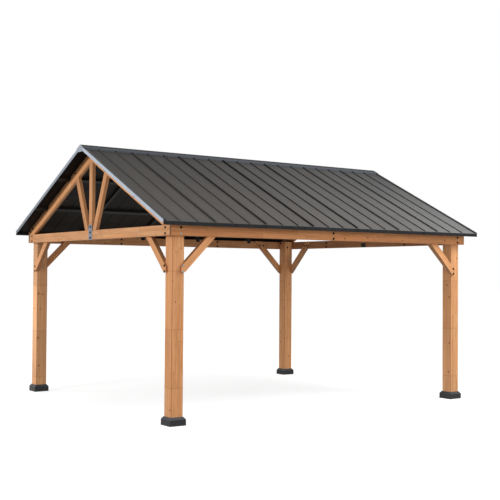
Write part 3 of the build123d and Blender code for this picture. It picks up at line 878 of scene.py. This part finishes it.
def bolt_tree(name, finish):
    """A flanged hexagon head: washer, flange, six-sided head and its chamfer."""
    tree = Tree(name, BOLT_SIZES, finish)
    thickness, height = tree.size("Washer thickness"), tree.size("Head height")
    washer_radius, head_radius = tree.size("Washer radius"), tree.size("Head radius")
    washer = tree.add("GeometryNodeMeshCylinder", Vertices=20, Radius=washer_radius, Depth=thickness)
    flange = tree.add(
        "GeometryNodeMeshCone", Vertices=20, Radius_Top=head_radius,
        Radius_Bottom=tree.share("Washer radius", 0.9), Depth=FLANGE_HEIGHT,
    )
    head = tree.add("GeometryNodeMeshCylinder", Vertices=6, Radius=head_radius, Depth=height)
    chamfer = tree.add(
        "GeometryNodeMeshCone", Vertices=6, Radius_Bottom=head_radius,
        Radius_Top=tree.share("Head radius", 0.82), Depth=CHAMFER_HEIGHT,
    )
    head_middle = tree.math("ADD", thickness, tree.share("Head height", 0.5))
    tree.close([
        tree.raised(washer, tree.share("Washer thickness", 0.5)),
        tree.raised(flange, thickness),
        tree.raised(head, head_middle),
        tree.raised(chamfer, tree.math("ADD", thickness, height)),
    ])
    return tree


def closure_tree(finish):
    """A foam block of the closure's width and depth, a little narrower on top."""
    tree = Tree("ridge_closure", CLOSURE_SIZES, finish)
    half_diagonal = 0.7071
    block = tree.add(
        "GeometryNodeMeshCone", Vertices=4, Radius_Top=0.60, Radius_Bottom=half_diagonal, Depth=1.0,
    )
    squared = tree.add("GeometryNodeTransform", Geometry=block.outputs[0], Rotation=(0, 0, radians(45)))
    scale = tree.join(tree.size("Width"), tree.size("Depth"), tree.size("Height"))
    sized = tree.add("GeometryNodeTransform", Geometry=squared.outputs[0], Scale=scale)
    tree.close([sized.outputs[0]])
    return tree


def own_turn(x, y, z):
    """A turn of a bolt's own, always the same for the same place."""
    return (x * 7.3 + y * 3.1 + z * 11.7) % SIXTH_OF_A_TURN


def zinc_glint_bolts():
    """Three pale zinc bolts on the front left post, their pale tone also a painted glint: two at its long
    brace's foot, one in the beam.
    """
    looks = (0, -1, 0)
    foot_y = -(FACE_Y + BOARD)
    places = [((-BRACE_FOOT_X, foot_y, BEAM_BOTTOM - drop), looks, 0.3) for drop in BRACE_FOOT_DROPS]
    places.append(((-POST_X, -OUTER_Y, BOLT_ROWS[1]), looks, 0.8))
    return places


def timber_bolts():
    """Black bolts of the beams, posts, braces and rafters, each with the way its head looks."""
    bright = [point for point, looks, roll in zinc_glint_bolts()]
    places = []

    def bolt(x, y, z, looks):
        if (x, y, z) not in bright:
            places.append(((x, y, z), looks, own_turn(x, y, z)))

    for side_x in (-1, 1):
        for side_y in (-1, 1):
            out_x, out_y = (side_x, 0, 0), (0, side_y, 0)
            in_x, in_y = (-side_x, 0, 0), (0, -side_y, 0)
            for z in BOLT_ROWS:
                bolt(side_x * OUTER_X, side_y * GABLE_BOLT_Y, z, out_x)
                bolt(side_x * POST_X, side_y * OUTER_Y, z, out_y)
                bolt(side_x * INNER_BOLT_X, side_y * FACE_Y, z - INNER_BOLT_DROP, in_y)
                bolt(side_x * FACE_X, side_y * INNER_BOLT_Y, z - INNER_BOLT_DROP, in_x)
            bolt(side_x * (POST_X - HALF_POST), side_y * POST_BOLT_Y, POST_BOLT_HIGH, in_x)
            bolt(side_x * POST_BOLT_X, side_y * (POST_Y - HALF_POST), POST_BOLT_LOW, in_y)
            for drop in BRACE_FOOT_DROPS:
                z = BEAM_BOTTOM - drop
                bolt(side_x * BRACE_FOOT_X, side_y * (FACE_Y + BOARD), z, out_y)
                bolt(side_x * (FACE_X + BOARD), side_y * BRACE_FOOT_Y, z, out_x)
            for run in BRACE_HEAD_RUNS:
                x = POST_X - HALF_POST - run
                y = POST_Y - HALF_POST - run
                bolt(side_x * x, side_y * (FACE_Y - BOARD), BRACE_HEAD_Z, in_y)
                bolt(side_x * (FACE_X - BOARD), side_y * y, BRACE_HEAD_Z, in_x)
            for y in RAFTER_BOLT_YS:
                bolt(side_x * (OUTER_X - BOARD), side_y * y, roof_height(y, RAFTER_BOLT_DEPTH), out_x)
    for side_y in (-1, 1):
        for z in SPLICE_BOLT_ROWS:
            bolt(SPLICE_BOLT_X, side_y * OUTER_Y, z, (0, side_y, 0))
    return places


def strap_bolts():
    """Three bolts of each tie strap, outside."""
    places = []
    for side_x in (-1, 1):
        for z in STRAP_BOLT_ROWS:
            places.append(((side_x * (OUTER_X + SHEET), 0, z), (side_x, 0, 0), 0.4))
    return places


def closure_places():
    """One place under the cap's lip over each seam of both slopes."""
    places = []
    for side_y in (-1, 1):
        for index in range(1, PANS):
            x = -side_y * (FIRST_SEAM_LINE + index * PAN_WIDTH)
            y = side_y * CLOSURE_DOWN * cos(PITCH)
            z = ROOF_TOP - CLOSURE_DOWN * sin(PITCH)
            looks = (0, side_y * sin(PITCH), cos(PITCH))
            places.append(((x, y, z), looks, 0.0))
    return places


def add_fittings():
    """Bolts and foam closures, which the model leaves to this script."""
    black = coated_steel(
        "bolt_black", tone(12, 12, 13), tone(22, 22, 24), roughness=0.4, specular=0.1, seed=13.0,
    )
    strap_black = coated_steel(
        "strap_bolt_black", tone(22, 24, 28), tone(34, 36, 40), roughness=0.4, specular=0.1, seed=15.0,
    )
    # Pale zinc, which also stands in for a glint.
    zinc = coated_steel(
        "bolt_zinc_glint", tone(150, 148, 146), tone(184, 181, 178), roughness=0.4, specular=0.3, seed=19.0,
    )
    foam = coated_steel(
        "closure_foam", tone(16, 15, 15), tone(26, 25, 24), roughness=0.8, specular=0.2, seed=17.0,
    )
    repeat("timber_bolts", timber_bolts(), bolt_tree("timber_bolt", black), BOLT_SIZES)
    repeat("zinc_glint_bolts", zinc_glint_bolts(), bolt_tree("zinc_bolt", zinc), ZINC_BOLT_SIZES)
    repeat("strap_bolts", strap_bolts(), bolt_tree("strap_bolt", strap_black), BOLT_SIZES)
    repeat("ridge_closures", closure_places(), closure_tree(foam), CLOSURE_SIZES)


# Stage, light and camera

FLOOR_REACH = 60.0
FLOOR_PAINT = (0.55, 0.55, 0.55, 1)
FLOOR_GLOW = 0.66
SURROUND_LIGHT = 0.70
BACKDROP_LIGHT = 1.0


def seen_directly(graph):
    """1 for what the camera sees directly, in a gloss or through glass."""
    path = graph.nodes.new("ShaderNodeLightPath")
    gloss = graph.math("MAXIMUM", path.outputs["Is Camera Ray"], path.outputs["Is Glossy Ray"])
    return graph.math("MAXIMUM", gloss, path.outputs["Is Transmission Ray"])


def build_stage():
    """A plain pale floor that the camera sees near white, with the object's shadow on it."""
    mesh = bpy.data.meshes.new("studio_floor")
    corners = [(-1, -1), (1, -1), (1, 1), (-1, 1)]
    mesh.from_pydata([(x * FLOOR_REACH, y * FLOOR_REACH, 0) for x, y in corners], [], [(0, 1, 2, 3)])
    floor = bpy.data.objects.new("studio_floor", mesh)
    bpy.context.scene.collection.objects.link(floor)
    material = bpy.data.materials.new("studio_floor_paint")
    material.use_nodes = True
    material.node_tree.nodes.clear()
    graph = Graph(material.node_tree)
    paint = graph.nodes.new("ShaderNodeBsdfDiffuse")
    paint.inputs["Color"].default_value = FLOOR_PAINT
    glow = graph.nodes.new("ShaderNodeEmission")
    glow.inputs["Strength"].default_value = FLOOR_GLOW
    both = graph.nodes.new("ShaderNodeAddShader")
    graph.links.new(paint.outputs[0], both.inputs[0])
    graph.links.new(glow.outputs[0], both.inputs[1])
    pick = graph.nodes.new("ShaderNodeMixShader")
    graph.links.new(seen_directly(graph), pick.inputs[0])
    graph.links.new(paint.outputs[0], pick.inputs[1])
    graph.links.new(both.outputs[0], pick.inputs[2])
    out = graph.nodes.new("ShaderNodeOutputMaterial")
    graph.links.new(pick.outputs[0], out.inputs[0])
    mesh.materials.append(material)


def build_surround():
    """A white surround, softer as light than as the camera sees it."""
    world = bpy.data.worlds.new("studio")
    bpy.context.scene.world = world
    world.use_nodes = True
    world.node_tree.nodes.clear()
    graph = Graph(world.node_tree)
    pick = graph.nodes.new("ShaderNodeMixShader")
    graph.links.new(seen_directly(graph), pick.inputs[0])
    for socket, strength in zip(pick.inputs[1:], (SURROUND_LIGHT, BACKDROP_LIGHT)):
        background = graph.nodes.new("ShaderNodeBackground")
        background.inputs["Color"].default_value = (1, 1, 1, 1)
        background.inputs["Strength"].default_value = strength
        graph.links.new(background.outputs[0], socket)
    out = graph.nodes.new("ShaderNodeOutputWorld")
    graph.links.new(pick.outputs[0], out.inputs[0])


def add_lamp(name, place, target, size, power, spread=180):
    """A round lamp that looks at a target, unseen by the camera."""
    lamp = bpy.data.lights.new(name, "AREA")
    lamp.shape = "DISK"
    lamp.size = size
    lamp.energy = power
    lamp.spread = radians(spread)
    piece = bpy.data.objects.new(name, lamp)
    piece.location = place
    piece.rotation_euler = (Vector(target) - Vector(place)).to_track_quat("-Z", "Y").to_euler()
    piece.visible_camera = False
    bpy.context.scene.collection.objects.link(piece)


def build_lamps():
    """Large soft lamps left and in front, one nearer the front right post, one low at the back."""
    add_lamp("lamp_left", (-12.0, -1.5, 4.8), (-1.5, 0, 1.2), size=3.5, power=375)
    add_lamp("lamp_front", (-3.0, -11.0, 5.0), (0.0, -1.0, 1.2), size=3.5, power=185)
    add_lamp("lamp_front_right", (3.2, -4.4, 5.4), (1.9, -1.7, 1.2), size=1.6, power=190)
    add_lamp("lamp_back_left", (-5.5, 4.2, 1.0), (-2.18, 1.79, 0.9), size=1.2, power=5, spread=34)


def build_camera():
    """The camera as the photograph was taken."""
    focal_length, frame_width = 973.54, 500.0
    place = (-7.4557, -10.7546, 1.6225)
    yaw, pitch, roll = radians(-35.2234), radians(1.3645), radians(0.3906)
    forward = Vector((-sin(yaw) * cos(pitch), cos(yaw) * cos(pitch), sin(pitch)))
    level_right = Vector((cos(yaw), sin(yaw), 0))
    level_up = level_right.cross(forward)
    right = level_right * cos(roll) + level_up * sin(roll)
    up = level_up * cos(roll) - level_right * sin(roll)
    camera = bpy.data.cameras.new("camera")
    camera.sensor_width = 36.0
    camera.lens = camera.sensor_width * focal_length / frame_width
    camera.clip_end = 200.0
    piece = bpy.data.objects.new("camera", camera)
    piece.matrix_world = Matrix.Translation(place) @ Matrix((right, up, -forward)).transposed().to_4x4()
    bpy.context.scene.collection.objects.link(piece)
    bpy.context.scene.camera = piece


bpy.context.scene.view_settings.view_transform = "Standard"
build_camera()
build_stage()
build_surround()
build_lamps()
dress_timber()
dress_steel()
add_fittings()
